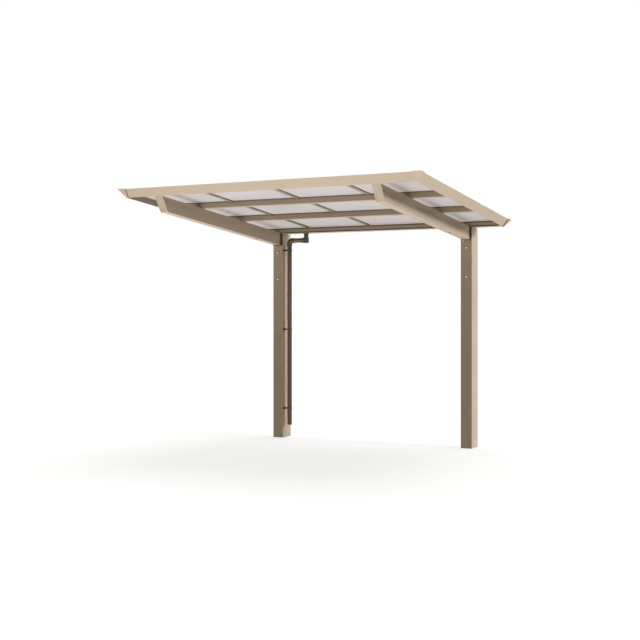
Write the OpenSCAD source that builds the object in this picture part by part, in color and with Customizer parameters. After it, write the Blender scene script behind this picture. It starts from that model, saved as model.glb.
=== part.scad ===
// Cantilever cycle carport: two posts, two beams and a four-bay panel roof that falls to a rear gutter.
// Origin: centre of the left post's foot. +X runs to the right post, +Y to the rear, +Z up. Millimetres.

/* [Roof] */
// Width of one bay, rafter centre to rafter centre
bay_pitch = 606; // [500:1:740]
// Outer top edge of a side fascia beyond the last bay line
side_margin = 58; // [46:1:90]
// Front top edge to rear top edge, measured level
roof_depth = 2100; // [1700:10:2600]
// Fall of the roof to the rear, in degrees
roof_fall = 5; // [2:0.5:8]
// Rear top edge behind the centre line of the posts
rear_overhang = 60; // [50:1:100]
// Thickness of a roof panel
panel_t = 3; // [2:0.5:5]

/* [Perimeter frame] */
// Height of the perimeter frame, square to the roof
frame_h = 60; // [50:1:80]
// Setback of the frame's bottom edge from its top edge
frame_slant = 48; // [30:1:54]
// How far the frame's top flange and ledge reach in past its web
flange_reach = 9.5; // [6:0.5:16]
// Wall of the roof extrusions
frame_wall = 2; // [1.6:0.1:2.6]
// Top of the frame above the top of a panel
panel_drop = 8; // [7:0.5:12]
// How far a panel's edge reaches into the frame
panel_bearing = 15; // [8:1:20]
// How far a corner block's legs run on past the other fascia's flange
corner_run = 4; // [2:1:50]
// How far a corner block stands proud of the fascias' faces and bottom edges
corner_proud = 1; // [0.5:0.5:4]
// How far a corner block rises above the fascias
corner_rise = 4; // [1:0.5:10]
// Open seam between a corner block and a fascia
corner_seam = 7; // [1:0.5:8]
// The same seam at the front right corner, where it is closed up
tight_seam = 0.5; // [0.2:0.1:8]

/* [Purlins and rafters] */
// Front face of the front purlin behind the front top edge
purlin_front_y = 615; // [400:5:800]
// Front face of the rear purlin behind the front top edge
purlin_rear_y = 1270; // [1000:5:1400]
// Width of a purlin
purlin_w = 45; // [35:1:60]
// Width of a rafter
rafter_w = 33; // [24:1:50]
// Depth of a rafter below the panels
rafter_h = 9; // [7:0.5:14]
// Width of the stem that parts two panels
rafter_stem = 4; // [3:0.5:6]
// Width of the batten that holds down two panel edges
cover_w = 36; // [28:1:56]
// Thickness of that batten at its middle
cover_t = 3.5; // [2.5:0.5:6]
// Thickness of that batten at its edges
cover_edge_t = 1.8; // [1.2:0.1:2.4]
// Width of the flat along the batten's middle
crown_w = 18; // [8:1:26]

/* [Gutter] */
// Level floor of the gutter, front face to rear bottom edge
gutter_floor = 112; // [100:1:120]
// Depth of the shoulder that the rafters rest on
shoulder_w = 20; // [14:1:30]
// How far the panels run on past that shoulder, over the open trough
panel_overhang = 21; // [10:1:30]
// Height of the hollow rib along the gutter's front face
rib_h = 24; // [14:1:30]
// How far that rib stands out
rib_d = 9; // [5:1:14]
// Width of the lip along the gutter's rear top edge
rear_lip_w = 15; // [10:1:20]

/* [Posts] */
// Distance between the posts' centre lines
post_pitch = 1835; // [1500:5:2100]
// Width of a post
post_w = 98; // [86:1:120]
// Depth of a post, front to rear
post_d = 160; // [140:1:170]
// Wall of a post
post_wall = 3; // [2:0.5:5]
// Ground to the underside of a beam at the post
clear_height = 1785; // [1700:5:2500]
// Thickness of a post's top cap
post_cap_t = 4; // [3:0.5:6]

/* [Beams] */
// Width of a beam
beam_w = 70; // [60:1:80]
// Height of a beam
beam_h = 112; // [90:1:140]
// Wall of a beam
beam_wall = 3; // [2:0.5:5]
// Thickness of the cap on a beam's front end
beam_cap_t = 4; // [2:0.5:6]
// Open joint between a beam's rear end and its post
joint_gap = 18; // [14:1:24]
// Thickness of the bracket's plate on the post's front face
bracket_plate_t = 6; // [3:0.5:10]
// How far a bracket reaches into its beam
bracket_reach = 400; // [100:5:500]
// Wall of a bracket
bracket_wall = 4; // [3:0.5:6]

/* [Rainwater] */
// Outside diameter of the pipes
pipe_d = 42; // [36:1:48]
// Wall of the pipes
pipe_wall = 1.8; // [1.5:0.1:3]
// Post's side face to the axis of the downspout
pipe_standoff = 57; // [50:1:80]
// Gutter outlet's axis from the post's side face
outlet_x = 230; // [200:5:320]
// Gutter's underside to the axis of the level pipe
arm_drop = 64; // [60:1:90]
// Ground to the lower end of the downspout
pipe_end = 120; // [60:5:300]
// Wall of the sockets round the pipes
socket_wall = 2.5; // [2:0.5:4]
// Length of pipe held in a socket
socket_grip = 20; // [12:1:24]
// Radius on the inside of the elbow's bend
elbow_bend = 4; // [2:0.5:16]
// Thickness of the outlet's flange
outlet_flange_t = 4; // [2:0.5:6]
// How far that flange stands out round the socket
outlet_flange_w = 6; // [4:0.5:8]

/* [Pipe clamps] */
// Height of a pipe clamp
clamp_h = 12; // [8:1:20]
// Wall of a clamp's band and foot
clamp_wall = 2.5; // [1.5:0.5:4]
// Width of the arm from the foot to the band
clamp_arm_w = 14; // [8:1:24]
// Width of the foot on the post
clamp_foot_w = 38; // [24:1:60]
// Upper clamp below the gutter's underside
clamp_drop = 152; // [150:1:300]
// Lower clamp above the lower end of the downspout
clamp_rise = 152; // [60:1:300]

/* [Fits] */
// Length of the spigots of caps and corner blocks in the hollow sections they close
spigot_grip = 20; // [12:1:24]
// Slack between a spigot or a pipe and what holds it, on each side
slack = 0.5; // [0.2:0.1:1]

/* [Hidden] */
BAYS = 4;
EDGE = 1;
ROUND = 96;

// Roof plane: local y runs down the slope from the front top edge, local z = 0 in the top edges
roof_length = BAYS * bay_pitch + 2 * side_margin;
roof_run = roof_depth / cos(roof_fall);
roof_front_y = rear_overhang - roof_depth;
roof_front_z = clear_height + tan(roof_fall) * (-post_d / 2 - roof_front_y)
    + (frame_h + beam_h) / cos(roof_fall);
half_length = roof_length / 2;

// Perimeter frame section: a = distance inwards from the outer top edge, z = height
slope_k = frame_slant / frame_h;
skew = sqrt(1 + slope_k * slope_k);
skin_x = frame_wall * skew;
web_in = frame_slant + skin_x;
frame_w = web_in + flange_reach;
panel_low = panel_drop + panel_t;
ledge_low = panel_low + frame_wall;
rafter_low = panel_low + rafter_h;
panel_edge = frame_w - panel_bearing;
corner_leg = frame_w + corner_run;
corner_out = slope_k * corner_rise + corner_proud * skew;
fascia_start = corner_leg + corner_seam;
tight_start = corner_leg + tight_seam;

// Gutter: its floor is level and starts from the rear bottom edge of the frame
heel_y = roof_run - frame_slant;
gutter_low = roof_front_z - heel_y * sin(roof_fall) - frame_h * cos(roof_fall);
gutter_heel_y = roof_front_y + heel_y * cos(roof_fall) - frame_h * sin(roof_fall);
gutter_face_y = gutter_heel_y - gutter_floor;
// A point of the gutter's section, given level and plumb from the rear bottom edge of the frame
function from_heel(y, z) = [
    heel_y + y * cos(roof_fall) - z * sin(roof_fall),
    y * sin(roof_fall) + z * cos(roof_fall) - frame_h
];
// Height above the heel of a depth below the roof plane, at a level distance from the heel
function height_at(y, depth) = (frame_h - depth - y * sin(roof_fall)) / cos(roof_fall);
shoulder_z = height_at(-gutter_floor, rafter_low);
seat_y = from_heel(-gutter_floor, shoulder_z)[0] + shoulder_w;
panel_end = seat_y + panel_overhang;

// Two cells of a post, and the front face of the beams, which carries on the front fascia's
post_cell = (post_d - 3 * post_wall) / 2;
beam_cap_y = beam_cap_t * skew;

// Rainwater pipes hang below the middle of the gutter floor
pipe_x = post_w / 2 + pipe_standoff;
drain_x = post_w / 2 + outlet_x;
pipe_y = gutter_heel_y - gutter_floor / 2;
arm_z = gutter_low - arm_drop;
pipe_bore = pipe_d - 2 * pipe_wall;
grip_d = pipe_d + 2 * slack;
socket_d = grip_d + 2 * socket_wall;
elbow_r = socket_d / 2 + elbow_bend;
outlet_d = socket_d + 2 * EDGE;
outlet_low = arm_z - outlet_d / 2;

clamp_top = gutter_low - clamp_drop;
clamp_low = pipe_end + clamp_rise;

ALU = [0.76, 0.68, 0.58];
BRONZE = [0.3, 0.27, 0.24];
PIPE = [0.55, 0.49, 0.41];
CLEAR = [0.86, 0.83, 0.83, 0.6];
BLACK = [0.12, 0.12, 0.12];

// Puts its children on the sloping roof, with x = 0 at mid length
module on_roof() {
    translate([post_pitch / 2, roof_front_y, roof_front_z]) rotate([-roof_fall, 0, 0]) children();
}

// Runs a section along X: its first coordinate becomes y and its second z
module along_x(from, to) {
    translate([from, 0, 0]) rotate([90, 0, 90]) linear_extrude(to - from) children();
}

// Runs a section along Y: its first coordinate becomes x and its second z
module along_y(from, to) {
    translate([0, to, 0]) rotate([90, 0, 0]) linear_extrude(to - from) children();
}

module tube(d, wall, length) {
    difference() {
        cylinder(d = d, h = length, $fn = ROUND);
        translate([0, 0, -EDGE]) cylinder(d = d - 2 * wall, h = length + 2 * EDGE, $fn = ROUND);
    }
}

// Distance inwards from the top edge to the inner face of the slanting skin, at a depth
function skin_in(depth) = slope_k * depth + skin_x;

// Closed cell of the fascia between its skin, ledge and web, drawn in by an inset
module cell_section(inset) {
    top = ledge_low + inset;
    side = web_in - frame_wall - inset;
    skin = skin_x + inset * skew;
    polygon([[slope_k * top + skin, -top], [side, -top], [side, (skin - side) / slope_k]]);
}

// Fascia: slanting skin, top flange with a lip over the panel, ledge under it and an inner web
module fascia_section() {
    lip_low = panel_drop - slack;
    lip_in = frame_w - frame_wall;
    difference() {
        polygon([[0, 0], [frame_w, 0], [frame_w, -frame_h], [frame_slant, -frame_h]]);
        polygon([
            [skin_in(frame_wall), -frame_wall],
            [lip_in, -frame_wall],
            [lip_in, -lip_low],
            [frame_w + EDGE, -lip_low],
            [frame_w + EDGE, -panel_low],
            [skin_in(panel_low), -panel_low]
        ]);
        cell_section(0);
        translate([web_in, -frame_h - EDGE]) square([frame_w, frame_h + EDGE - ledge_low]);
    }
}

// Outline of a corner block's leg, proud of the fascia's skin and bottom and higher than its top
module corner_outline() {
    low = frame_h + corner_proud;
    polygon([
        [-corner_out, corner_rise],
        [2 * corner_leg, corner_rise],
        [2 * corner_leg, -low],
        [slope_k * low - corner_proud * skew, -low]
    ]);
}

// The leg ends where the fascia's flange and web do, and has a groove for the panels' edges
module corner_section() {
    difference() {
        corner_outline();
        translate([frame_w, -panel_low]) square(2 * corner_leg);
        translate([panel_edge - slack, -panel_low]) square([corner_leg, panel_t]);
        translate([web_in, -panel_low - 2 * corner_leg]) square(2 * corner_leg);
    }
}

// Corner block with its outer corner at the origin and its legs along +x and +y
module corner_block(front) {
    from = -corner_out - EDGE;
    spigot = fascia_start + spigot_grip;
    intersection() {
        union() {
            along_x(from, corner_leg) corner_section();
            along_y(from, corner_leg) corner_section();
        }
        along_x(from, 2 * corner_leg) corner_outline();
        along_y(from, 2 * corner_leg) corner_outline();
    }
    along_y(corner_leg - EDGE, spigot) cell_section(slack);
    if (front) along_x(corner_leg - EDGE, spigot) cell_section(slack);
}

module corner(side, front) {
    color(ALU) on_roof() translate([side * half_length, front ? 0 : roof_run, 0])
        mirror([side > 0 ? 1 : 0, 0, 0]) mirror([0, front ? 0 : 1, 0]) corner_block(front);
}

module front_fascia() {
    color(ALU) on_roof() along_x(fascia_start - half_length, half_length - tight_start)
        fascia_section();
}

module side_fascia(side) {
    color(ALU) on_roof() translate([side * half_length, 0, 0]) mirror([side > 0 ? 1 : 0, 0, 0])
        along_y(side > 0 ? tight_start : fascia_start, roof_run - fascia_start) fascia_section();
}

// Gutter: level floor, front face with a hollow rib between two slots, a shoulder for the rafters
// below the panels' open rear ends, and a slanting rear skin with a lip
module gutter_section() {
    rib_low = (shoulder_z - rib_h) / 2;
    rib_high = (shoulder_z + rib_h) / 2;
    face = -gutter_floor + rib_d;
    inner = face + frame_wall;
    under = rafter_low + frame_wall;
    cot = cos(roof_fall) - slope_k * sin(roof_fall);
    heel_in = (frame_wall * (sin(roof_fall) + slope_k * cos(roof_fall)) - skin_x) / cot;
    difference() {
        polygon([
            from_heel(0, 0),
            from_heel(-gutter_floor, 0),
            from_heel(-gutter_floor, frame_wall),
            from_heel(face, frame_wall),
            from_heel(face, rib_low),
            from_heel(-gutter_floor, rib_low),
            from_heel(-gutter_floor, rib_high),
            from_heel(face, rib_high),
            from_heel(face, height_at(face, under)),
            from_heel(-gutter_floor, height_at(-gutter_floor, under)),
            from_heel(-gutter_floor, shoulder_z),
            [seat_y, -rafter_low],
            [seat_y, -under],
            from_heel(inner, height_at(inner, under)),
            from_heel(inner, frame_wall),
            from_heel(heel_in, frame_wall),
            [roof_run - skin_in(frame_wall), -frame_wall],
            [roof_run - rear_lip_w, -frame_wall],
            [roof_run - rear_lip_w, 0],
            [roof_run, 0]
        ]);
        polygon([
            from_heel(-gutter_floor + frame_wall, rib_low + frame_wall),
            from_heel(-gutter_floor + frame_wall, rib_high - frame_wall),
            from_heel(face, rib_high - frame_wall),
            from_heel(face, rib_low + frame_wall)
        ]);
    }
}

module gutter() {
    reach = half_length - fascia_start;
    color(ALU) difference() {
        on_roof() along_x(-reach, reach) gutter_section();
        translate([drain_x, pipe_y, gutter_low - EDGE])
            cylinder(d = pipe_bore, h = frame_wall + 2 * EDGE, $fn = ROUND);
    }
}

// Plate that closes the trough and fills the space up to the side fascia's web
module gutter_end(side) {
    color(ALU) on_roof() mirror([side < 0 ? 1 : 0, 0, 0])
        along_x(half_length - fascia_start, half_length - web_in) polygon([
            from_heel(0, 0),
            from_heel(-gutter_floor, 0),
            from_heel(-gutter_floor, height_at(-gutter_floor, ledge_low)),
            [roof_run - web_in, -ledge_low],
            [roof_run - web_in, -frame_h]
        ]);
}

module purlin(front_y) {
    reach = half_length - web_in;
    height = frame_h - rafter_low;
    color(ALU) on_roof() along_x(-reach, reach) translate([front_y, -frame_h]) difference() {
        square([purlin_w, height]);
        translate([frame_wall, frame_wall])
            square([purlin_w - 2 * frame_wall, height - 2 * frame_wall]);
    }
}

function rafter_x(i) = (i - BAYS / 2) * bay_pitch;

// Section of a rafter below a depth, hollow, and open at the top where it is cut there
module rafter_section(top) {
    difference() {
        translate([-rafter_w / 2, -rafter_low]) square([rafter_w, rafter_low - top]);
        translate([-rafter_w / 2 + frame_wall, -rafter_low + frame_wall])
            square([rafter_w - 2 * frame_wall, rafter_h - 2 * frame_wall]);
    }
}

// Rafter with a stem between two panels; its front end is coped under the fascia's ledge
module rafter(i) {
    color(ALU) on_roof() translate([rafter_x(i), 0, 0]) {
        along_y(frame_w, seat_y) {
            rafter_section(panel_low);
            translate([-rafter_stem / 2, -panel_low]) square([rafter_stem, panel_t]);
        }
        along_y(web_in, frame_w + EDGE) rafter_section(ledge_low);
    }
}

// Low crowned batten over the joint of two panels
module rafter_cover(i) {
    color(ALU) on_roof() translate([rafter_x(i), 0, -panel_drop]) along_y(frame_w, panel_end)
        polygon([
            [-cover_w / 2, 0],
            [cover_w / 2, 0],
            [cover_w / 2, cover_edge_t],
            [crown_w / 2, cover_t],
            [-crown_w / 2, cover_t],
            [-cover_w / 2, cover_edge_t]
        ]);
}

module roof_panel(i) {
    gap = rafter_stem / 2 + slack;
    from = i == 1 ? -half_length + panel_edge : rafter_x(i - 1) + gap;
    to = i == BAYS ? half_length - panel_edge : rafter_x(i) - gap;
    color(CLEAR) on_roof() translate([from, panel_edge, -panel_low])
        cube([to - from, panel_end - panel_edge, panel_t]);
}

// Hollow post with a web across its middle, from the ground to its cap
module post(x) {
    color(ALU) translate([x, 0, 0]) linear_extrude(gutter_low - post_cap_t) difference() {
        square([post_w, post_d], center = true);
        for (s = [-1, 1])
            translate([0, s * (post_cell + post_wall) / 2])
                square([post_w - 2 * post_wall, post_cell], center = true);
    }
}

// Plate on a post's top with a spigot in each of its cells
module post_cap(x) {
    spigot_w = post_w - 2 * (post_wall + slack);
    color(ALU) translate([x, 0, gutter_low - post_cap_t]) {
        translate([-post_w / 2, -post_d / 2, 0]) cube([post_w, post_d, post_cap_t]);
        for (s = [-1, 1])
            translate([0, s * (post_cell + post_wall) / 2, -spigot_grip / 2])
                cube([spigot_w, post_cell - 2 * slack, spigot_grip + EDGE], center = true);
    }
}

// Space in front of the plane that carries on the front fascia's face, moved back by an offset
module before_front_plane(offset_y) {
    far = 3 * frame_h + beam_h;
    along_x(-far, far) polygon([
        [offset_y - far, far],
        [offset_y - slope_k * far, far],
        [offset_y + slope_k * far, -far],
        [offset_y - far, -far]
    ]);
}

// Everything behind a level line across the building
module behind(y) {
    far = 2 * beam_w;
    translate([-far, y, 0]) cube([2 * far, roof_depth, 2 * roof_front_z]);
}

// Room for the gutter above a beam's rear end
module gutter_room() {
    translate([-beam_w, gutter_face_y, gutter_low]) cube([2 * beam_w, post_d, beam_h]);
}

// Bar of the beam's outline, drawn in by a margin, from a place on the slope to past the post
module beam_bar(margin, from) {
    translate([-beam_w / 2 + margin, from, -frame_h - beam_h + margin])
        cube([beam_w - 2 * margin, roof_run - from, beam_h - 2 * margin]);
}

module beam(x) {
    color(ALU) translate([x, 0, 0]) difference() {
        translate([-post_pitch / 2, 0, 0]) on_roof() difference() {
            beam_bar(0, 0);
            beam_bar(beam_wall, -EDGE);
            before_front_plane(beam_cap_y);
        }
        behind(-post_d / 2 - joint_gap);
        gutter_room();
    }
}

// Slanting plate in the front fascia's plane with a spigot in the beam
module beam_cap(x) {
    color(ALU) translate([x - post_pitch / 2, 0, 0]) on_roof() {
        intersection() {
            beam_bar(0, 0);
            difference() {
                before_front_plane(beam_cap_y);
                before_front_plane(0);
            }
        }
        intersection() {
            beam_bar(beam_wall + slack, 0);
            difference() {
                before_front_plane(spigot_grip);
                before_front_plane(beam_cap_y - EDGE);
            }
        }
    }
}

// Bracket that the hollow beam slides over, on a plate as wide as the post's front face
module bracket(x) {
    end_y = (gutter_face_y - roof_front_y) / cos(roof_fall);
    inner = beam_wall + slack;
    color(BRONZE) translate([x, 0, 0]) {
        difference() {
            translate([-post_pitch / 2, 0, 0]) on_roof() beam_bar(inner, end_y - bracket_reach);
            behind(-post_d / 2);
            gutter_room();
            difference() {
                translate([-post_pitch / 2, 0, 0]) on_roof()
                    beam_bar(inner + bracket_wall, end_y - bracket_reach - EDGE);
                behind(-post_d / 2 - joint_gap);
            }
        }
        translate([-post_w / 2, -post_d / 2 - bracket_plate_t, clear_height])
            cube([post_w, bracket_plate_t, gutter_low - clear_height]);
    }
}

// Flanged outlet under the gutter with a closed foot and a side socket for the level pipe
module gutter_outlet() {
    branch = socket_d / 2 + socket_grip;
    color(PIPE) translate([drain_x, pipe_y, 0]) difference() {
        union() {
            translate([0, 0, outlet_low]) cylinder(d = outlet_d, h = outlet_d, $fn = ROUND);
            translate([0, 0, outlet_low]) cylinder(d = pipe_d, h = gutter_low - outlet_low, $fn = ROUND);
            translate([0, 0, gutter_low - outlet_flange_t])
                cylinder(d = socket_d + 2 * outlet_flange_w, h = outlet_flange_t, $fn = ROUND);
            translate([0, 0, arm_z]) rotate([0, -90, 0]) cylinder(d = socket_d, h = branch, $fn = ROUND);
        }
        translate([0, 0, outlet_low + socket_wall])
            cylinder(d = pipe_bore, h = gutter_low, $fn = ROUND);
        translate([0, 0, arm_z]) rotate([0, -90, 0]) cylinder(d = pipe_bore, h = branch, $fn = ROUND);
        translate([-socket_d / 2, 0, arm_z]) rotate([0, -90, 0])
            cylinder(d = grip_d, h = socket_grip + EDGE, $fn = ROUND);
    }
}

// Level pipe from the outlet's socket to the elbow's
module drain_arm() {
    from = pipe_x + elbow_r;
    to = drain_x - socket_d / 2;
    color(PIPE) translate([from, pipe_y, arm_z]) rotate([0, 90, 0]) tube(pipe_d, pipe_wall, to - from);
}

module drain_elbow() {
    color(PIPE) translate([pipe_x, pipe_y, arm_z]) {
        translate([elbow_r, 0, -elbow_r]) rotate([90, 0, 0]) rotate([0, 0, 90])
            rotate_extrude(angle = 90, $fn = ROUND) translate([elbow_r, 0]) difference() {
                circle(d = socket_d, $fn = ROUND);
                circle(d = pipe_bore, $fn = ROUND);
            }
        translate([elbow_r, 0, 0]) rotate([0, 90, 0]) socket();
        translate([0, 0, -elbow_r]) rotate([180, 0, 0]) socket();
    }
}

module socket() {
    tube(socket_d, socket_wall, socket_grip);
}

module downspout() {
    top = arm_z - elbow_r;
    color(PIPE) translate([pipe_x, pipe_y, pipe_end]) tube(pipe_d, pipe_wall, top - pipe_end);
}

// Band round the downspout on an arm from a foot on the post's side face
module clamp(z) {
    color(BLACK) translate([0, pipe_y, z - clamp_h / 2]) difference() {
        union() {
            translate([pipe_x, 0, 0]) cylinder(d = grip_d + 2 * clamp_wall, h = clamp_h, $fn = ROUND);
            translate([post_w / 2, -clamp_arm_w / 2, 0]) cube([pipe_standoff, clamp_arm_w, clamp_h]);
            translate([post_w / 2, -clamp_foot_w / 2, 0]) cube([clamp_wall, clamp_foot_w, clamp_h]);
        }
        translate([pipe_x, 0, -EDGE]) cylinder(d = grip_d, h = clamp_h + 2 * EDGE, $fn = ROUND);
    }
}

post(0);  // left_post
post(post_pitch);  // right_post
post_cap(0);  // left_post_cap
post_cap(post_pitch);  // right_post_cap
beam(0);  // left_beam
beam(post_pitch);  // right_beam
beam_cap(0);  // left_beam_cap
beam_cap(post_pitch);  // right_beam_cap
bracket(0);  // left_bracket
bracket(post_pitch);  // right_bracket
front_fascia();
side_fascia(-1);  // left_fascia
side_fascia(1);  // right_fascia
gutter();
gutter_end(-1);  // left_gutter_end
gutter_end(1);  // right_gutter_end
corner(-1, true);  // front_left_corner
corner(1, true);  // front_right_corner
corner(-1, false);  // rear_left_corner
corner(1, false);  // rear_right_corner
purlin(purlin_front_y);  // front_purlin
purlin(purlin_rear_y);  // rear_purlin
rafter(1);  // rafter_1
rafter(2);  // rafter_2
rafter(3);  // rafter_3
rafter_cover(1);  // rafter_cover_1
rafter_cover(2);  // rafter_cover_2
rafter_cover(3);  // rafter_cover_3
roof_panel(1);  // roof_panel_1
roof_panel(2);  // roof_panel_2
roof_panel(3);  // roof_panel_3
roof_panel(4);  // roof_panel_4
gutter_outlet();
drain_arm();
drain_elbow();
downspout();
clamp(clamp_top);  // upper_clamp
clamp((clamp_top + clamp_low) / 2);  // middle_clamp
clamp(clamp_low);  // lower_clamp
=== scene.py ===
import math

import bmesh
import bpy
from mathutils import Matrix, Vector


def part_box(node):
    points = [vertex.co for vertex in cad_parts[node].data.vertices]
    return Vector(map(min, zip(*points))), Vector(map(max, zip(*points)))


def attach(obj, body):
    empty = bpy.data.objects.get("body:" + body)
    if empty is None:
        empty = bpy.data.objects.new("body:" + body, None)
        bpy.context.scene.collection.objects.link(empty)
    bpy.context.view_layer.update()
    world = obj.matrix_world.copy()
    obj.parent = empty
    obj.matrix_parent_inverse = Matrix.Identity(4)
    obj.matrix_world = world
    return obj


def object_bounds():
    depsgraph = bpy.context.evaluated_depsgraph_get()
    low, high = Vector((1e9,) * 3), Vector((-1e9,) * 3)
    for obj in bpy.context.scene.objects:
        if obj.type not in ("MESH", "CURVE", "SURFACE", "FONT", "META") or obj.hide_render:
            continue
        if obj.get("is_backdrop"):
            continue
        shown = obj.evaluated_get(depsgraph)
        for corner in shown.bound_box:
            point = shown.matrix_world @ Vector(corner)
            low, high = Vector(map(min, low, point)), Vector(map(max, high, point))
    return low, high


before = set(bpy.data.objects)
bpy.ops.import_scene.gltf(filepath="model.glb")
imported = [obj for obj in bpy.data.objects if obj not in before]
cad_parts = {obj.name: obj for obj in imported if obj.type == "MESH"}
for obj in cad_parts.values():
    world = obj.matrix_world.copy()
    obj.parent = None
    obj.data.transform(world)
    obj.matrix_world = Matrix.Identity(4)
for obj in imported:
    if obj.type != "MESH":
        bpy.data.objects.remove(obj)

# Sizes that the carport is made to, in metres and radians, where no node's box gives them
MM = 0.001
FALL = math.radians(5.0)
FRAME_H = 60 * MM
FRAME_W = 60.06 * MM
FRAME_SLANT = 48 * MM
PANEL_TOP = 8 * MM
RAFTER_W = 33 * MM
BEAM_H = 112 * MM
BAY = 606 * MM
BAYS = 4
RAFTERS = (1, 2, 3)

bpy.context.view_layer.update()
left_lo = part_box("left_post")[0]
right_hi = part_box("right_post")[1]
front_lo, front_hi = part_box("front_fascia")
spout_lo, spout_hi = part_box("downspout")
pipe_x = (spout_lo.x + spout_hi.x) / 2
pipe_y = (spout_lo.y + spout_hi.y) / 2

# The roof's mid length and half length, and its length down the slope
mid_x = (left_lo.x + right_hi.x) / 2
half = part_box("right_fascia")[1].x - mid_x
run = (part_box("gutter")[1].y - front_lo.y) / math.cos(FALL)

# The sloping roof: x from mid length, y down the slope from the front top edge, z square to it
ROOF = Matrix.Translation((mid_x, front_lo.y, front_hi.z)) @ Matrix.Rotation(-FALL, 4, "X")

FORWARD = (0, -1, 0)
RIGHT = (1, 0, 0)
UP = (0, 0, 1)
DOWN = (0, 0, -1)


# ---------------------------------------------------------------- materials
def srgb(red, green, blue):
    """A linear colour from the 0 to 255 values of a screen colour."""
    def linear(level):
        level /= 255.0
        return level / 12.92 if level <= 0.04045 else ((level + 0.055) / 1.055) ** 2.4

    return (linear(red), linear(green), linear(blue), 1.0)


def shade(colour, factor, lift=0.0):
    return tuple(min(1.0, level * factor + lift) for level in colour[:3]) + (1.0,)


# The next two colours are painted shade: the frame's corners and slots, and the sheets beside the frame,
# are darkened towards them
CORNER_SHADE = srgb(84, 68, 54)
SHEET_SHADE = srgb(168, 160, 158)
CHAMPAGNE = srgb(213, 194, 172)
BRONZE = srgb(112, 97, 77)
WARM_TINT = (1.0, 0.97, 0.92, 1.0)
SPECULAR = 0.35

# The sheet: its skin's share of what is seen, the light that its near skin passes straight on, and the
# colour that it shows to the frame round it
SHEET_SKIN = 0.36
SHEET_PASSES = 0.14
SHEET_TO_FRAME = (0.2, 0.19, 0.18, 1.0)


class Tree:
    """Short calls for making a node tree."""

    def __init__(self, tree):
        self.tree = tree
        self.tree.nodes.clear()

    def add(self, kind, **values):
        node = self.tree.nodes.new(kind)
        for key, value in values.items():
            setattr(node, key, value)
        return node

    def link(self, output, socket):
        self.tree.links.new(output, socket)

    def put(self, socket, value):
        """Gives an input a link or a plain value."""
        if isinstance(value, bpy.types.NodeSocket):
            self.link(value, socket)
        else:
            socket.default_value = value

    def math(self, operation, first, second, clamp=False):
        node = self.add("ShaderNodeMath", operation=operation, use_clamp=clamp)
        self.put(node.inputs[0], first)
        self.put(node.inputs[1], second)
        return node.outputs[0]

    def dot(self, first, second):
        node = self.add("ShaderNodeVectorMath", operation="DOT_PRODUCT")
        self.put(node.inputs[0], first)
        self.put(node.inputs[1], second)
        return node.outputs["Value"]

    def length(self, vector):
        node = self.add("ShaderNodeVectorMath", operation="LENGTH")
        self.link(vector, node.inputs[0])
        return node.outputs["Value"]

    def mix(self, factor, first, second, blend="MIX"):
        """A mix of two colours."""
        node = self.add("ShaderNodeMix", data_type="RGBA", blend_type=blend)
        self.put(node.inputs[0], factor)
        self.put(node.inputs[6], first)
        self.put(node.inputs[7], second)
        return node.outputs[2]

    def pick(self, factor, first, second):
        """A mix of two shaders."""
        node = self.add("ShaderNodeMixShader")
        self.put(node.inputs[0], factor)
        self.link(first.outputs[0], node.inputs[1])
        self.link(second.outputs[0], node.inputs[2])
        return node

    def remap(self, value, from_low, from_high, to_low, to_high):
        node = self.add("ShaderNodeMapRange")
        for i, item in enumerate((value, from_low, from_high, to_low, to_high)):
            self.put(node.inputs[i], item)
        return node.outputs[0]

    def spread(self, noise, low, high):
        """The middle of a noise's range, stretched to run from low to high."""
        return self.remap(noise, 0.3, 0.7, low, high)

    def noise(self, vector, scale, detail=2.0, rough=0.5):
        node = self.add("ShaderNodeTexNoise")
        self.link(vector, node.inputs["Vector"])
        node.inputs["Scale"].default_value = scale
        node.inputs["Detail"].default_value = detail
        node.inputs["Roughness"].default_value = rough
        return node.outputs["Fac"]

    def mapped(self, vector, scale, turn=0.0, shift=(0.0, 0.0, 0.0)):
        """A vector scaled axis by axis, turned about X and shifted."""
        node = self.add("ShaderNodeMapping")
        self.link(vector, node.inputs["Vector"])
        node.inputs["Location"].default_value = shift
        node.inputs["Rotation"].default_value = (turn, 0.0, 0.0)
        node.inputs["Scale"].default_value = scale
        return node.outputs["Vector"]

    def place(self):
        """The point on the object, in metres in the object's frame."""
        return self.add("ShaderNodeTexCoord").outputs["Object"]

    def finish(self, shader):
        self.link(shader.outputs[0], self.add("ShaderNodeOutputMaterial").inputs[0])


def new_material(name):
    material = bpy.data.materials.new(name)
    material.use_nodes = True
    return material, Tree(material.node_tree)


def edge_mask(tree, radius):
    """A mask, 1 on a sharp edge and 0 on a flat face, and the rounded normal that it comes from."""
    bevel = tree.add("ShaderNodeBevel", samples=4)
    bevel.inputs["Radius"].default_value = radius
    rounded = bevel.outputs[0]
    flat = tree.add("ShaderNodeNewGeometry").outputs["Normal"]
    return tree.remap(tree.dot(rounded, flat), 0.97, 0.8, 0.0, 1.0), rounded


def crevice_mask(tree, reach):
    """1 deep in a corner or a slot and 0 on an open face; it says where painted shade goes."""
    occlusion = tree.add("ShaderNodeAmbientOcclusion", samples=6)
    occlusion.inputs["Distance"].default_value = reach
    return tree.remap(occlusion.outputs["AO"], 0.8, 0.3, 0.0, 1.0)


def mottled(tree, cloud, colour, low, high):
    """A colour that drifts between two shades of itself."""
    return tree.mix(tree.spread(cloud, 0.0, 1.0), shade(colour, low), shade(colour, high))


def painted_highlight_and_shade(tree, tone, edge, edge_highlight, reach, painted_shade):
    """A tone with a painted highlight on its edges, and painted shade where other surfaces are within
    reach.
    """
    tone = tree.mix(tree.math("MULTIPLY", edge, 0.3), tone, edge_highlight)
    return tree.mix(tree.math("MULTIPLY", crevice_mask(tree, reach), painted_shade), tone, CORNER_SHADE, "MULTIPLY")


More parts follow.
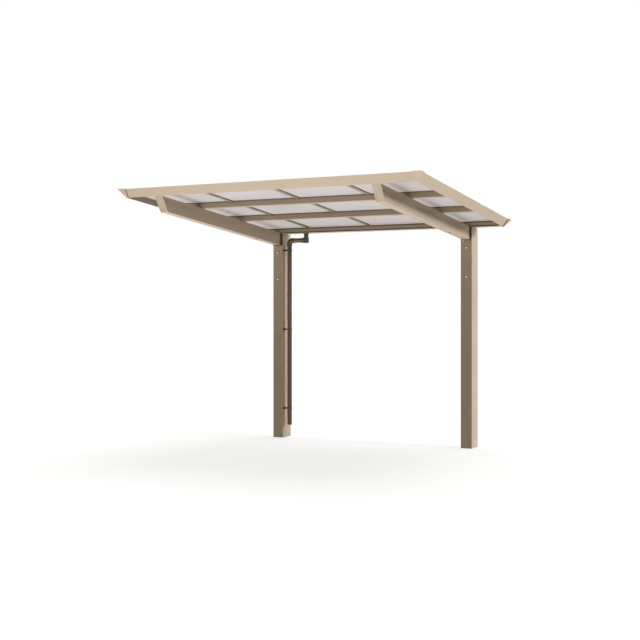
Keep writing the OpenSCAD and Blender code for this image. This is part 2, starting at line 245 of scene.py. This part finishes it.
def bumped(tree, height, strength, distance, normal):
    bump = tree.add("ShaderNodeBump")
    bump.inputs["Strength"].default_value = strength
    bump.inputs["Distance"].default_value = distance
    tree.link(height, bump.inputs["Height"])
    tree.link(normal, bump.inputs["Normal"])
    return bump.outputs[0]


def surface(tree, tone, metallic, roughness, normal):
    """Ends a material in one shader."""
    shader = tree.add("ShaderNodeBsdfPrincipled")
    tree.link(tone, shader.inputs["Base Color"])
    shader.inputs["Metallic"].default_value = metallic
    shader.inputs["Specular IOR Level"].default_value = SPECULAR
    tree.link(roughness, shader.inputs["Roughness"])
    tree.link(normal, shader.inputs["Normal"])
    tree.finish(shader)


def extruded_metal(name, colour, axis, turn=0.0, metallic=0.08, rough=0.46, reach=0.03):
    """Satin anodised extrusion: fine die lines along one axis, soft tone changes, a painted highlight on
    its edges, and painted shade in its corners where other surfaces are within reach."""
    material, tree = new_material(name)
    place = tree.place()
    along = {"X": (0.02, 1, 1), "Y": (1, 0.02, 1), "Z": (1, 1, 0.02)}[axis]
    drawn = tree.mapped(place, along, turn)
    lines = tree.noise(drawn, scale=520.0, detail=3.0, rough=0.6)
    bands = tree.noise(drawn, scale=45.0)
    cloud = tree.noise(place, scale=2.3, detail=3.0)
    grain = tree.noise(place, scale=1400.0, detail=1.0)
    edge, rounded = edge_mask(tree, 1.8 * MM)
    tone = mottled(tree, cloud, colour, 0.94, 1.05)
    warmth = tree.spread(bands, 0.0, 0.10)
    tone = tree.mix(warmth, tone, WARM_TINT, "MULTIPLY")
    scoring = tree.remap(lines, 0.35, 0.65, 0.0, 0.07)
    tone = tree.mix(scoring, tone, shade(colour, 0.6))
    # Painted highlight on the edges, and painted shade in the corners
    tone = painted_highlight_and_shade(tree, tone, edge, shade(colour, 1.3, lift=0.04), reach, painted_shade=0.75)
    along_lines = tree.spread(lines, rough - 0.05, rough + 0.06)
    roughness = tree.math("ADD", along_lines, tree.spread(cloud, -0.03, 0.03))
    roughness = tree.math("SUBTRACT", roughness, tree.math("MULTIPLY", edge, 0.08))
    height = tree.math("ADD", lines, tree.math("MULTIPLY", grain, 0.35))
    normal = bumped(tree, height, strength=0.12, distance=0.4 * MM, normal=rounded)
    surface(tree, tone, metallic, roughness, normal)
    return material


def coated(name, colour, rough, scale=600.0, metallic=0.0, band=None):
    """Fine textured coating or moulded finish, with a painted highlight on its edges, painted shade in
    its corners and, if given, a second colour within a radius of an upright axis."""
    material, tree = new_material(name)
    place = tree.place()
    grain = tree.noise(place, scale=scale, detail=3.0, rough=0.6)
    cloud = tree.noise(place, scale=14.0, detail=3.0)
    edge, rounded = edge_mask(tree, 0.8 * MM)
    tone = mottled(tree, cloud, colour, 0.92, 1.08)
    if band:
        band_colour, x, y, radius = band
        away = tree.length(tree.mapped(place, (1.0, 1.0, 0.0), shift=(-x, -y, 0.0)))
        inside = tree.remap(away, radius + 0.2 * MM, radius - 0.2 * MM, 0.0, 1.0)
        tone = tree.mix(inside, tone, mottled(tree, cloud, band_colour, 0.92, 1.08))
    # Painted highlight on the edges, and light painted shade in the corners
    tone = painted_highlight_and_shade(tree, tone, edge, shade(colour, 1.5, lift=0.03), reach=0.02, painted_shade=0.3)
    roughness = tree.spread(grain, rough - 0.08, rough + 0.08)
    normal = bumped(tree, grain, strength=0.25, distance=0.2 * MM, normal=rounded)
    surface(tree, tone, metallic, roughness, normal)
    return material


def frosted_sheet(name, colour):
    """Milky polycarbonate: light from above comes through, with a soft sheen and faint drawn waves."""
    material, tree = new_material(name)
    place = tree.place()
    cloud = tree.noise(place, scale=1.7, detail=3.0)
    waves = tree.noise(tree.mapped(place, (1.0, 0.03, 1.0), -FALL), scale=60.0)
    grain = tree.noise(place, scale=1800.0, detail=1.0)
    tone = mottled(tree, cloud, colour, 0.955, 1.0)
    streaks = tree.remap(waves, 0.35, 0.65, 0.0, 0.05)
    tone = tree.mix(streaks, tone, shade(colour, 0.9))
    # Painted shade on the sheet where the frame is within reach, beside the beams and purlins
    painted_shade = tree.math("MULTIPLY", crevice_mask(tree, 0.12), 0.35)
    tone = tree.mix(painted_shade, tone, SHEET_SHADE, "MULTIPLY")
    through = tree.add("ShaderNodeBsdfTranslucent")
    tree.link(tone, through.inputs["Color"])
    skin = tree.add("ShaderNodeBsdfPrincipled")
    tree.link(tone, skin.inputs["Base Color"])
    tree.link(tree.spread(grain, 0.3, 0.42), skin.inputs["Roughness"])
    geometry = tree.add("ShaderNodeNewGeometry")
    height = tree.math("ADD", waves, tree.math("MULTIPLY", grain, 0.3))
    normal = bumped(tree, height, strength=0.08, distance=0.3 * MM, normal=geometry.outputs["Normal"])
    tree.link(normal, skin.inputs["Normal"])
    body = tree.pick(SHEET_SKIN, through, skin)
    # It sends less light on to the frame round it than the eye sees in it
    dim = tree.add("ShaderNodeBsdfDiffuse")
    dim.inputs["Color"].default_value = SHEET_TO_FRAME
    path = tree.add("ShaderNodeLightPath")
    lit = tree.pick(path.outputs["Is Diffuse Ray"], body, dim)
    # Light that is inside the sheet gets out through the far skin, and the near skin spreads most of it
    clear = tree.add("ShaderNodeBsdfTransparent")
    passed = tree.remap(geometry.outputs["Backfacing"], 0.0, 1.0, SHEET_PASSES, 1.0)
    tree.link(passed, clear.inputs["Color"])
    tree.finish(tree.pick(path.outputs["Is Shadow Ray"], lit, clear))
    return material


CLAMP_BAND_RADIUS = 24.6 * MM
metal_x = extruded_metal("champagne_x", CHAMPAGNE, "X")
metal_y = extruded_metal("champagne_y", CHAMPAGNE, "Y", turn=-FALL)
# The posts' longer reach paints shade on their sides beside the downspout
metal_z = extruded_metal("champagne_z", CHAMPAGNE, "Z", reach=0.055)
# The side fascias' long reach paints shade over their inner faces
metal_side = extruded_metal("champagne_side", CHAMPAGNE, "Y", turn=-FALL, reach=0.2)
# The rafters' darker copy of the champagne is painted shade
metal_rafter_shaded = extruded_metal("champagne_rafter", shade(CHAMPAGNE, 0.62), "Y", turn=-FALL)
cast = coated("champagne_cast", CHAMPAGNE, rough=0.46, scale=500.0, metallic=0.12)
# The beam caps' darker copy of the champagne is painted shade
cast_end_shaded = coated("champagne_cast_end", shade(CHAMPAGNE, 0.81), rough=0.46, scale=500.0, metallic=0.12)
# The level pipe's lighter copy of the bronze is a painted highlight, and the upright pipe's darker copy
# is painted shade
pipe_level_lit = extruded_metal("bronze_x", shade(BRONZE, 1.25), "X", metallic=0.7, rough=0.3)
pipe_upright_shaded = extruded_metal("bronze_z", shade(BRONZE, 0.75), "Z", metallic=0.5, rough=0.34)
pipe_cast = coated("bronze_cast", BRONZE, rough=0.38, scale=500.0, metallic=0.3)
bracket = coated("dark_bracket", srgb(104, 84, 62), rough=0.5)
clamp = coated("clamp", srgb(16, 15, 15), rough=0.6, band=(BRONZE, pipe_x, pipe_y, CLAMP_BAND_RADIUS))
# Near-black rubber; in the corner seams its darkness is also painted shade
rubber = coated("rubber", srgb(14, 10, 8), rough=0.9)
foam = coated("foam", srgb(160, 148, 132), rough=0.85, scale=900.0)
steel = coated("fastener_steel", srgb(232, 221, 204), rough=0.2, scale=900.0, metallic=1.0)
washer = coated("fastener_washer", shade(CHAMPAGNE, 0.62), rough=0.4, scale=900.0, metallic=0.3)
dull_steel = coated("fastener_dark", srgb(84, 74, 62), rough=0.4, scale=900.0, metallic=0.5)
sheet = frosted_sheet("frosted_sheet", srgb(236, 229, 229))

# A node takes the first finish here whose word is in its name, and the last one fits any name
FINISHES = [
    ("panel", sheet),
    ("clamp", clamp),
    ("bracket", bracket),
    ("gutter_outlet", pipe_cast),
    ("drain_elbow", pipe_cast),
    ("drain_arm", pipe_level_lit),
    ("downspout", pipe_upright_shaded),
    ("beam_cap", cast_end_shaded),
    ("corner", cast),
    ("cap", cast),
    ("end", cast),
    ("post", metal_z),
    ("rafter_cover", metal_y),
    ("rafter", metal_rafter_shaded),
    ("left_fascia", metal_side),
    ("right_fascia", metal_side),
    ("beam", metal_y),
    ("", metal_x),
]

for name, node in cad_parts.items():
    for slot in node.material_slots:
        slot.material = next(finish for word, finish in FINISHES if word in name)


# ---------------------------------------------------------------- making pieces
def add_object(name, data):
    made = bpy.data.objects.new(name, data)
    bpy.context.scene.collection.objects.link(made)
    return made


def piece(name, shape, material, smooth=True):
    """Makes a piece of a finished shape, which rides on the one body."""
    mesh = bpy.data.meshes.new(name)
    bmesh.ops.recalc_face_normals(shape, faces=shape.faces)
    shape.to_mesh(mesh)
    shape.free()
    for polygon in mesh.polygons:
        polygon.use_smooth = smooth
    mesh.materials.append(material)
    made = add_object(name, mesh)
    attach(made, "root")


def lathe(shape, profile, where, segments=24):
    """Adds a turned shape, placed by a matrix: (radius, height) pairs in mm round local Z, from the rim
    of its flat back to the middle of its front."""
    rings = []
    for radius, height in profile[:-1]:
        ring = []
        for k in range(segments):
            angle = 2 * math.pi * k / segments
            x = radius * MM * math.cos(angle)
            y = radius * MM * math.sin(angle)
            ring.append(shape.verts.new(where @ Vector((x, y, height * MM))))
        rings.append(ring)
    middle = shape.verts.new(where @ Vector((0, 0, profile[-1][1] * MM)))
    for low, high in zip(rings, rings[1:]):
        for k in range(segments):
            after = (k + 1) % segments
            shape.faces.new((low[k], low[after], high[after], high[k]))
    for k in range(segments):
        shape.faces.new((rings[-1][k], rings[-1][(k + 1) % segments], middle))
    shape.faces.new(rings[0][::-1])


def sweep(shape, outline, ends):
    """Adds a closed strip: an outline of points in mm, put in place by the matrix of each end."""
    rows = []
    for where in ends:
        rows.append([shape.verts.new(where @ Vector((a * MM, b * MM, 0.0))) for a, b in outline])
    first, last = rows
    for k in range(len(outline)):
        after = (k + 1) % len(outline)
        shape.faces.new((first[k], first[after], last[after], last[k]))
    shape.faces.new(first[::-1])
    shape.faces.new(last)


def strip_along_x(shape, outline, start, end):
    """A strip along the roof's length; outline gives (y, z) in mm."""
    turn = Matrix(((0, 0, 1, 0), (1, 0, 0, 0), (0, 1, 0, 0), (0, 0, 0, 1)))
    sweep(shape, outline, [ROOF @ Matrix.Translation((x, 0, 0)) @ turn for x in (start, end)])


def strip_along_y(shape, outline, x, start, end, side):
    """A strip down the slope at x; outline gives (x, z) in mm, mirrored where side is -1."""
    turn = Matrix(((side, 0, 0, 0), (0, 0, 1, 0), (0, 1, 0, 0), (0, 0, 0, 1)))
    sweep(shape, outline, [ROOF @ Matrix.Translation((x, y, 0)) @ turn for y in (start, end)])


def facing(point, normal):
    """A matrix whose local Z points along normal, at point."""
    turn = Vector(normal).normalized().to_track_quat("Z", "Y")
    return Matrix.Translation(Vector(point)) @ turn.to_matrix().to_4x4()


def on_roof(point, normal):
    """The same for a point and a direction that are given on the sloping roof."""
    return facing(ROOF @ Vector(point), ROOF.to_3x3() @ Vector(normal))


def raised(profile, lift):
    return [(radius, height + lift) for radius, height in profile]


def batten_span(i):
    """The middle and the half width of a batten, across the roof."""
    lo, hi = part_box(f"rafter_cover_{i}")
    return (lo.x + hi.x) / 2 - mid_x, (hi.x - lo.x) / 2


def bay_spans(at_frame, at_rafter):
    """Both ends of each bay, set in from the roof's ends and from the rafters' middles."""
    for bay in range(BAYS):
        start = -half + at_frame if bay == 0 else (bay - BAYS / 2) * BAY + at_rafter
        end = half - at_frame if bay == BAYS - 1 else (bay + 1 - BAYS / 2) * BAY - at_rafter
        yield start, end


# ---------------------------------------------------------------- fasteners
# Turned shapes, (radius, height) in mm, and how thick the washers are in mm
DOME = [(7.2, 0), (7.2, 1.2), (6.8, 2.6), (5.4, 3.9), (3.3, 4.7), (1.5, 5.0), (1.2, 4.4), (0, 4.4)]
WASHER = [(13.5, 0), (13.5, 1.4), (12.8, 1.9), (7.4, 1.9), (0, 1.9)]
PAN = [(4.4, 0), (4.4, 0.9), (3.8, 2.0), (2.6, 2.7), (1.3, 2.8), (1.0, 2.1), (0, 2.1)]
LARGE_PAN = [(6.4, 0), (6.4, 1.6), (5.6, 3.2), (3.6, 4.4), (1.6, 4.7), (1.3, 3.8), (0, 3.8)]
SMALL_PAN = [(2.6, 0), (2.6, 0.8), (1.8, 1.6), (0, 1.7)]
SMALL_WASHER = [(7.0, 0), (7.0, 0.9), (6.4, 1.3), (4.2, 1.3), (0, 1.3)]
HEXAGON = [(5.6, 0), (5.6, 3.1), (5.0, 3.7), (0, 3.7)]
WASHER_THICK = 1.9
SMALL_WASHER_THICK = 1.3

# Where they sit: shares of a post's height, degrees round the outlet, a count of screws down a batten,
# and otherwise metres
POST_BOLT_HEIGHTS = (0.910, 0.7785)
PLATE_THICK = 6 * MM
PLATE_SCREWS_UP = (22 * MM, 82 * MM)
PLATE_SCREWS_ASIDE = 42.5 * MM
POST_SCREW_ASIDE = 24 * MM
POST_SCREW_BELOW = 8 * MM
BEAM_BOLT_DOWN_SLOPE = 1577 * MM
CLAMP_SCREW_SUNK = 0.3 * MM
CLAMP_FOOT = 2.5 * MM
CLAMP_FOOT_SCREWS = (-13 * MM, 13 * MM)
OUTLET_RADIUS = 30 * MM
OUTLET_FLANGE = 4 * MM
OUTLET_SCREWS = 26.5 * MM
OUTLET_SCREW_TURNS = (30, 150, 270)
BATTEN_CROWN = 3.5 * MM
BATTEN_SCREWS = 7
BATTEN_SCREW_START = 110 * MM
BATTEN_SCREW_STEP = 310 * MM

heads, washers, screws, dull, seals = (bmesh.new() for _ in range(5))
for end in ("left", "right"):
    lo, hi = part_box(end + "_post")
    x = (lo.x + hi.x) / 2
    for share in POST_BOLT_HEIGHTS:
        spot = facing((x, lo.y, share * hi.z), FORWARD)
        lathe(washers, WASHER, spot)
        lathe(heads, raised(DOME, WASHER_THICK), spot)
    # Screws through the bracket's plate, beside the beam, and one below the beam's end
    plate_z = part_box(end + "_bracket")[0].z
    for up in PLATE_SCREWS_UP:
        for side in (-1, 1):
            spot = facing((x + side * PLATE_SCREWS_ASIDE, lo.y - PLATE_THICK, plate_z + up), FORWARD)
            lathe(dull, PAN, spot, segments=16)
    spot = facing((x - POST_SCREW_ASIDE, lo.y, plate_z - POST_SCREW_BELOW), FORWARD)
    lathe(screws, LARGE_PAN, spot)
    # Bolt up through the beam's underside into the bracket
    spot = on_roof((x - mid_x, BEAM_BOLT_DOWN_SLOPE, -FRAME_H - BEAM_H), DOWN)
    lathe(dull, SMALL_WASHER, spot, segments=20)
    lathe(dull, raised(HEXAGON, SMALL_WASHER_THICK), spot, segments=6)
piece("post_bolts", heads, steel)
piece("post_washers", washers, washer)

# Clamps: a closing screw on each band and two screws in each foot
for name in ("upper_clamp", "middle_clamp", "lower_clamp"):
    lo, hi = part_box(name)
    z = (lo.z + hi.z) / 2
    lathe(dull, PAN, facing((hi.x - CLAMP_SCREW_SUNK, pipe_y, z), RIGHT), segments=16)
    for across in CLAMP_FOOT_SCREWS:
        lathe(dull, PAN, facing((lo.x + CLAMP_FOOT, pipe_y + across, z), RIGHT), segments=16)

# Screws up through the outlet's flange
outlet_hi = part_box("gutter_outlet")[1]
for turn in OUTLET_SCREW_TURNS:
    x = outlet_hi.x - OUTLET_RADIUS + OUTLET_SCREWS * math.cos(math.radians(turn))
    y = pipe_y + OUTLET_SCREWS * math.sin(math.radians(turn))
    lathe(dull, SMALL_PAN, facing((x, y, outlet_hi.z - OUTLET_FLANGE), DOWN), segments=12)

# Battens: screws with sealing washers down each one
for i in RAFTERS:
    x, _ = batten_span(i)
    for k in range(BATTEN_SCREWS):
        y = BATTEN_SCREW_START + k * BATTEN_SCREW_STEP
        spot = on_roof((x, y, -PANEL_TOP + BATTEN_CROWN), UP)
        lathe(seals, SMALL_WASHER, spot, segments=16)
        lathe(screws, raised(PAN, SMALL_WASHER_THICK), spot, segments=16)
piece("screw_seals", seals, rubber)
piece("bright_screws", screws, steel)
piece("dark_screws", dull, dull_steel)

# ---------------------------------------------------------------- foam, beads and seals
# Foam strips between the purlins and the panels, from rafter to rafter; their grey is partly painted
# shade for the gap above each purlin
FOAM = [(1, -19.9), (1, -14), (2, -12), (4, -11.1), (18, -11.1), (20, -12), (21, -14), (21, -19.9)]
FOAM_FROM_END = 62 * MM
FOAM_FROM_RAFTER = RAFTER_W / 2 + 1 * MM
strips = bmesh.new()
for purlin in ("front_purlin", "rear_purlin"):
    lo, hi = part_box(purlin)
    front = (lo.y - front_lo.y + FRAME_H * math.sin(FALL)) / math.cos(FALL) / MM
    for start, end in bay_spans(FOAM_FROM_END, FOAM_FROM_RAFTER):
        strip_along_x(strips, [(front + a, b) for a, b in FOAM], start, end)
piece("purlin_foam", strips, foam)

# Glazing beads beside the battens and along the frame's lips, on top of the panels. The outline and the
# lip's edge are in mm.
BEAD = [(0, -7.9), (3.4, -7.9), (3.0, -6.6), (1.8, -5.6), (0, -5.2)]
LIP_EDGE = 60.3
BEAD_FROM_EDGE = 64 * MM
SIDE_BEAD_FROM_EDGE = 66 * MM
BEAD_FROM_RAFTER = 22 * MM
BEADS_BEFORE_REAR = 130 * MM
beads_end = run - BEADS_BEFORE_REAR
beads = bmesh.new()
for i in RAFTERS:
    x, half_width = batten_span(i)
    for side in (-1, 1):
        strip_along_y(beads, BEAD, x + side * half_width, BEAD_FROM_EDGE, beads_end, side)
for side in (-1, 1):
    strip_along_y(beads, BEAD, -side * (half - LIP_EDGE * MM), SIDE_BEAD_FROM_EDGE, beads_end, side)
for start, end in bay_spans(BEAD_FROM_EDGE, BEAD_FROM_RAFTER):
    strip_along_x(beads, [(LIP_EDGE + a, b) for a, b in BEAD], start, end)
piece("glazing_beads", beads, rubber)

# How far the frame's slanting skin runs in and how long it is, for each mm down, and how far the top
# flange reaches in, in mm
SKIN_IN = FRAME_SLANT / FRAME_H
SKIN_LENGTH = math.sqrt(1 + SKIN_IN * SKIN_IN)
FLANGE_END = 58


def seam_outline(inset, thick):
    """A band that follows the fascia's top flange and slanting skin, in mm from its top edge."""
    low = FRAME_H / MM - inset
    deep = inset + thick
    return [
        (FLANGE_END, -inset),
        (inset * SKIN_LENGTH, -inset),
        (SKIN_IN * low + inset * SKIN_LENGTH, -low),
        (SKIN_IN * low + deep * SKIN_LENGTH, -low),
        (SKIN_IN * deep + deep * SKIN_LENGTH, -deep),
        (FLANGE_END, -deep),
    ]


def lip_outline(top, low, proud, sunk):
    """A flat lip on the slanting skin, from one depth to another below its top edge, in mm."""
    outline = []
    for depth, out in ((top, proud), (low, proud), (low, -sunk), (top, -sunk)):
        outline.append((SKIN_IN * depth - out / SKIN_LENGTH, -depth - out * SKIN_IN / SKIN_LENGTH))
    return outline


# Rubber seals in the open seams between three of the corner blocks and the fascias, their near-black
# also
# standing for the shade deep in the seams: painted shade. The two seams at the rear have a flat lip over
# them too.
BAND = seam_outline(inset=0.9, thick=3.5)
LIP = lip_outline(top=3, low=57, proud=0.8, sunk=0.4)
CORNER_LEG = FRAME_W + 4 * MM
SEAM = 7 * MM
SEAL_START = 0.3 * MM
SEAL_END = 6.6 * MM
LIP_START = -12.5 * MM
LIP_END = 17.5 * MM
rear_seam = run - CORNER_LEG - SEAM
gaskets = bmesh.new()
strip_along_y(gaskets, BAND, -half, CORNER_LEG + SEAL_START, CORNER_LEG + SEAL_END, side=1)
for side in (-1, 1):
    strip_along_y(gaskets, BAND, side * half, rear_seam + SEAL_START, rear_seam + SEAL_END, -side)
    strip_along_y(gaskets, LIP, side * half, rear_seam + LIP_START, rear_seam + LIP_END, -side)
strip_along_x(gaskets, BAND, -half + CORNER_LEG + SEAL_START, -half + CORNER_LEG + SEAL_END)
piece("corner_seals_and_seam_shade", gaskets, rubber, smooth=False)

# ---------------------------------------------------------------- stage
# The floor: metres from its middle to its sides and below the ground, its colour and glow to the
# camera, and its colour to everything else
FLOOR_REACH = 60.0
FLOOR_BELOW = 2 * MM
FLOOR_PALE = (0.3, 0.3, 0.3, 1.0)
FLOOR_GLOW = 0.70
FLOOR_BOUNCE = shade((1.0, 0.9, 0.7), 0.2)

# The world's light: its colour, an even part, a part from above and a part from the rear left
SKY_COLOUR = (1.0, 0.95, 0.82, 1.0)
SKY_EVEN = 0.05
SKY_TOP = 0.2
SKY_BEHIND = 0.9
REAR_LEFT = (-0.6, 0.75, 0.28)
WHITE = (1.0, 1.0, 1.0, 1.0)

# Lamps: (energy, spread, azimuth from +X to the rear, height above the level), angles in degrees
LAMPS = {
    "overhead": (1.65, 36.0, 60.0, 76.0),
    "low_side": (1.74, 10.0, 4.5, 16.5),
    "ground_bounce": (1.2, 26.0, -90.0, -84.0),
}

# The board in front: watts, metres, and degrees that it leans away from the roof
BOARD_WATTS = 39.0
BOARD_PAST_POSTS = 1.0
BOARD_DEPTH = 0.8
BOARD_TO_THE_LEFT = 0.4
BOARD_BEFORE_ROOF = 1.1
BOARD_HEIGHT = 0.15
BOARD_LEAN = 15.0

# The camera: sensor and lens in mm, shift as a share of the picture, place in metres, and degrees to
# the left of straight to the rear
SENSOR = 36.0
LENS = 61.49
SHIFT_Y = -0.01606
EYE = (4.902, -8.997, 1.1855)
EYE_TURN = 26.6


def seen_directly(tree):
    """1 for what the camera sees, also in a reflection or through a clear surface."""
    path = tree.add("ShaderNodeLightPath")
    seen = tree.math("ADD", path.outputs["Is Camera Ray"], path.outputs["Is Glossy Ray"], clamp=True)
    return tree.math("ADD", seen, path.outputs["Is Transmission Ray"], clamp=True)


def stage_floor():
    """White floor that takes the object's shadow. It sends little light back up: most of that light is
    the lamp's from below, and the floor casts no shadow, so that it lets that lamp through."""
    grid = bmesh.new()
    bmesh.ops.create_grid(grid, x_segments=1, y_segments=1, size=FLOOR_REACH)
    mesh = bpy.data.meshes.new("floor")
    grid.to_mesh(mesh)
    grid.free()
    material, tree = new_material("floor")
    pale = tree.add("ShaderNodeBsdfDiffuse")
    pale.inputs["Color"].default_value = FLOOR_PALE
    glow = tree.add("ShaderNodeEmission")
    glow.inputs["Strength"].default_value = FLOOR_GLOW
    shown = tree.add("ShaderNodeAddShader")
    tree.link(pale.outputs[0], shown.inputs[0])
    tree.link(glow.outputs[0], shown.inputs[1])
    bounce = tree.add("ShaderNodeBsdfDiffuse")
    bounce.inputs["Color"].default_value = FLOOR_BOUNCE
    tree.finish(tree.pick(seen_directly(tree), bounce, shown))
    mesh.materials.append(material)
    floor = add_object("floor", mesh)
    floor.location = (0.0, 0.0, -FLOOR_BELOW)
    floor.visible_shadow = False
    floor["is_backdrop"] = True


def light_world():
    """Soft uneven light, and plain white for what the camera sees."""
    world = bpy.data.worlds.new("world")
    bpy.context.scene.world = world
    world.use_nodes = True
    tree = Tree(world.node_tree)
    toward = tree.add("ShaderNodeTexCoord").outputs["Generated"]
    from_top = tree.remap(tree.dot(toward, UP), 0.1, 1.0, 0.0, SKY_TOP)
    from_behind = tree.remap(tree.dot(toward, REAR_LEFT), 0.0, 1.0, 0.0, SKY_BEHIND)
    level = tree.math("ADD", SKY_EVEN, tree.math("ADD", from_top, from_behind))
    soft = tree.add("ShaderNodeBackground")
    soft.inputs["Color"].default_value = SKY_COLOUR
    tree.link(level, soft.inputs["Strength"])
    white = tree.add("ShaderNodeBackground")
    white.inputs["Color"].default_value = WHITE
    white.inputs["Strength"].default_value = 1.0
    shown = tree.pick(seen_directly(tree), soft, white)
    tree.link(shown.outputs[0], tree.add("ShaderNodeOutputWorld").inputs[0])


def lamp(name, energy, spread, azimuth, height):
    """A soft lamp: azimuth turns from +X to the rear and height from level to overhead, in degrees."""
    light = bpy.data.lights.new(name, "SUN")
    light.energy = energy
    light.angle = math.radians(spread)
    turn, rise = math.radians(azimuth), math.radians(height)
    source = Vector((math.cos(turn) * math.cos(rise), math.sin(turn) * math.cos(rise), math.sin(rise)))
    add_object(name, light).rotation_euler = (-source).to_track_quat("-Z", "Y").to_euler()


def board():
    """A long board of light for the roof's front edge, low in front of it and hidden from the camera."""
    light = bpy.data.lights.new("reflector", "AREA")
    light.shape = "RECTANGLE"
    light.size = right_hi.x - left_lo.x + 2 * BOARD_PAST_POSTS
    light.size_y = BOARD_DEPTH
    light.energy = BOARD_WATTS
    made = add_object("reflector", light)
    made.location = (mid_x - BOARD_TO_THE_LEFT, front_lo.y - BOARD_BEFORE_ROOF, BOARD_HEIGHT)
    made.rotation_euler = (math.pi + math.radians(BOARD_LEAN), 0.0, 0.0)
    made.visible_camera = False


def place_camera():
    camera = bpy.data.cameras.new("camera")
    camera.sensor_width = SENSOR
    camera.lens = LENS
    camera.shift_y = SHIFT_Y
    eye = add_object("camera", camera)
    eye.location = EYE
    eye.rotation_euler = (math.pi / 2, 0.0, math.radians(EYE_TURN))
    bpy.context.scene.camera = eye


stage_floor()
light_world()
for name, values in LAMPS.items():
    lamp(name, *values)
board()
place_camera()
bpy.context.scene.view_settings.view_transform = "Standard"

lo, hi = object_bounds()
